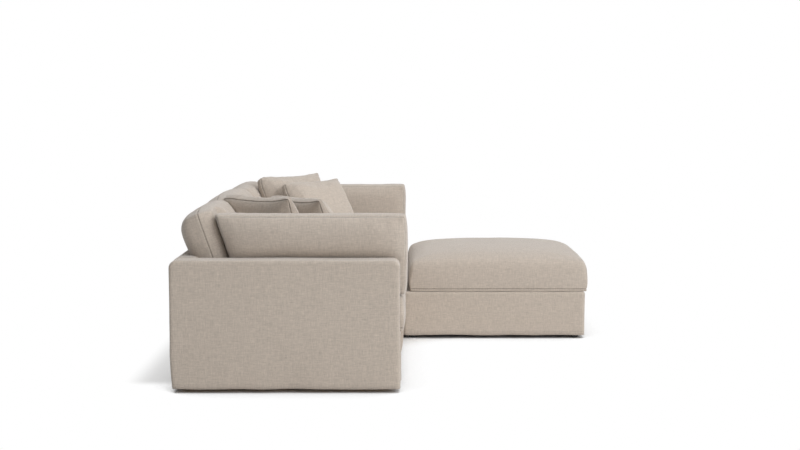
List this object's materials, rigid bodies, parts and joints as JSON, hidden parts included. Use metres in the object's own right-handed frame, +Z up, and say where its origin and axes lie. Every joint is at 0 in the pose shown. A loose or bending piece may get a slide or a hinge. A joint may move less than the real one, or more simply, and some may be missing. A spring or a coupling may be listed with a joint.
{
  "type": "sectional sofa with chaise ottoman",
  "caption": "Low slip-covered sectional sofa with loose slab cushions, throw pillows and a square cushioned ottoman as its chaise.",
  "frame": {"origin": "on the floor, below the middle of the whole outline of sofa and ottoman", "axes": "+X along the sofa to the chaise end, +Y from front to back, +Z up"},
  "size_m": [2.6, 2.0706, 0.8633],
  "materials": {
    "cover_fabric": "slub linen weave, warm greige, matt",
    "cushion_fabric": "slub linen weave, warm greige, matt",
    "pillow_fabric": "slub linen weave, warm greige, matt",
    "hardwood": "planed, unfinished",
    "spring_steel": "oiled wire",
    "dust_cloth": "black nonwoven",
    "glide_plastic": "moulded black",
    "bracket_steel": "zinc plated"
  },
  "bodies": {
    "sofa": {"left_frame": "hardwood", "left_springs": "spring_steel", "left_slipcover": "cover_fabric", "left_dust_cover": "dust_cloth", "left_glide_front_left": "glide_plastic", "left_glide_front_right": "glide_plastic", "left_glide_back_left": "glide_plastic", "left_glide_back_right": "glide_plastic", "left_seat_cushion": "cushion_fabric", "left_back_cushion": "cushion_fabric", "middle_frame": "hardwood", "middle_springs": "spring_steel", "middle_slipcover": "cover_fabric", "middle_dust_cover": "dust_cloth", "middle_glide_front_left": "glide_plastic", "middle_glide_front_right": "glide_plastic", "middle_glide_back_left": "glide_plastic", "middle_glide_back_right": "glide_plastic", "middle_seat_cushion": "cushion_fabric", "right_frame": "hardwood", "right_springs": "spring_steel", "right_slipcover": "cover_fabric", "right_dust_cover": "dust_cloth", "right_glide_front_left": "glide_plastic", "right_glide_front_right": "glide_plastic", "right_glide_back_left": "glide_plastic", "right_glide_back_right": "glide_plastic", "right_seat_cushion": "cushion_fabric", "right_back_cushion": "cushion_fabric", "left_arm_frame": "hardwood", "left_arm_slipcover": "cover_fabric", "right_arm_frame": "hardwood", "right_arm_slipcover": "cover_fabric", "pillow_left_corner": "pillow_fabric", "pillow_right_corner": "pillow_fabric", "left_arm_bracket": "bracket_steel", "left_middle_bracket": "bracket_steel", "middle_right_bracket": "bracket_steel", "right_arm_bracket": "bracket_steel"},
    "ottoman": {"ottoman_frame": "hardwood", "ottoman_springs": "spring_steel", "ottoman_slipcover": "cover_fabric", "ottoman_dust_cover": "dust_cloth", "ottoman_glide_front_left": "glide_plastic", "ottoman_glide_front_right": "glide_plastic", "ottoman_glide_back_left": "glide_plastic", "ottoman_glide_back_right": "glide_plastic"},
    "ottoman_cushion": {"ottoman_cushion": "cushion_fabric"},
    "left_arm_cushion": {"left_arm_cushion": "cushion_fabric"},
    "right_arm_cushion": {"right_arm_cushion": "cushion_fabric"},
    "middle_back_cushion": {"middle_back_cushion": "cushion_fabric"},
    "left_front_pillow": {"pillow_left_front": "pillow_fabric"},
    "right_front_pillow": {"pillow_right_front": "pillow_fabric"}
  },
  "joints": [
    {"name": "ottoman_slide", "type": "slide", "parent": "sofa", "child": "ottoman", "axis": [0, -1, 0], "range_m": [0, 0.6]},
    {"name": "ottoman_cushion_lift", "type": "slide", "parent": "ottoman", "child": "ottoman_cushion", "axis": [0, 0, 1], "range_m": [0, 0.3]},
    {"name": "left_arm_cushion_lift", "type": "slide", "parent": "sofa", "child": "left_arm_cushion", "axis": [0, -0.7071, 0.7071], "range_m": [0, 0.25]},
    {"name": "right_arm_cushion_lift", "type": "slide", "parent": "sofa", "child": "right_arm_cushion", "axis": [0, -0.7071, 0.7071], "range_m": [0, 0.25]},
    {"name": "middle_back_cushion_lift", "type": "slide", "parent": "sofa", "child": "middle_back_cushion", "axis": [0, 0, 1], "range_m": [0, 0.3]},
    {"name": "left_front_pillow_lift", "type": "slide", "parent": "sofa", "child": "left_front_pillow", "axis": [0.5675, -0.6302, 0.5299], "range_m": [0, 0.25]},
    {"name": "right_front_pillow_lift", "type": "slide", "parent": "sofa", "child": "right_front_pillow", "axis": [-0.5221, -0.6683, 0.5299], "range_m": [0, 0.25]}
  ]
}
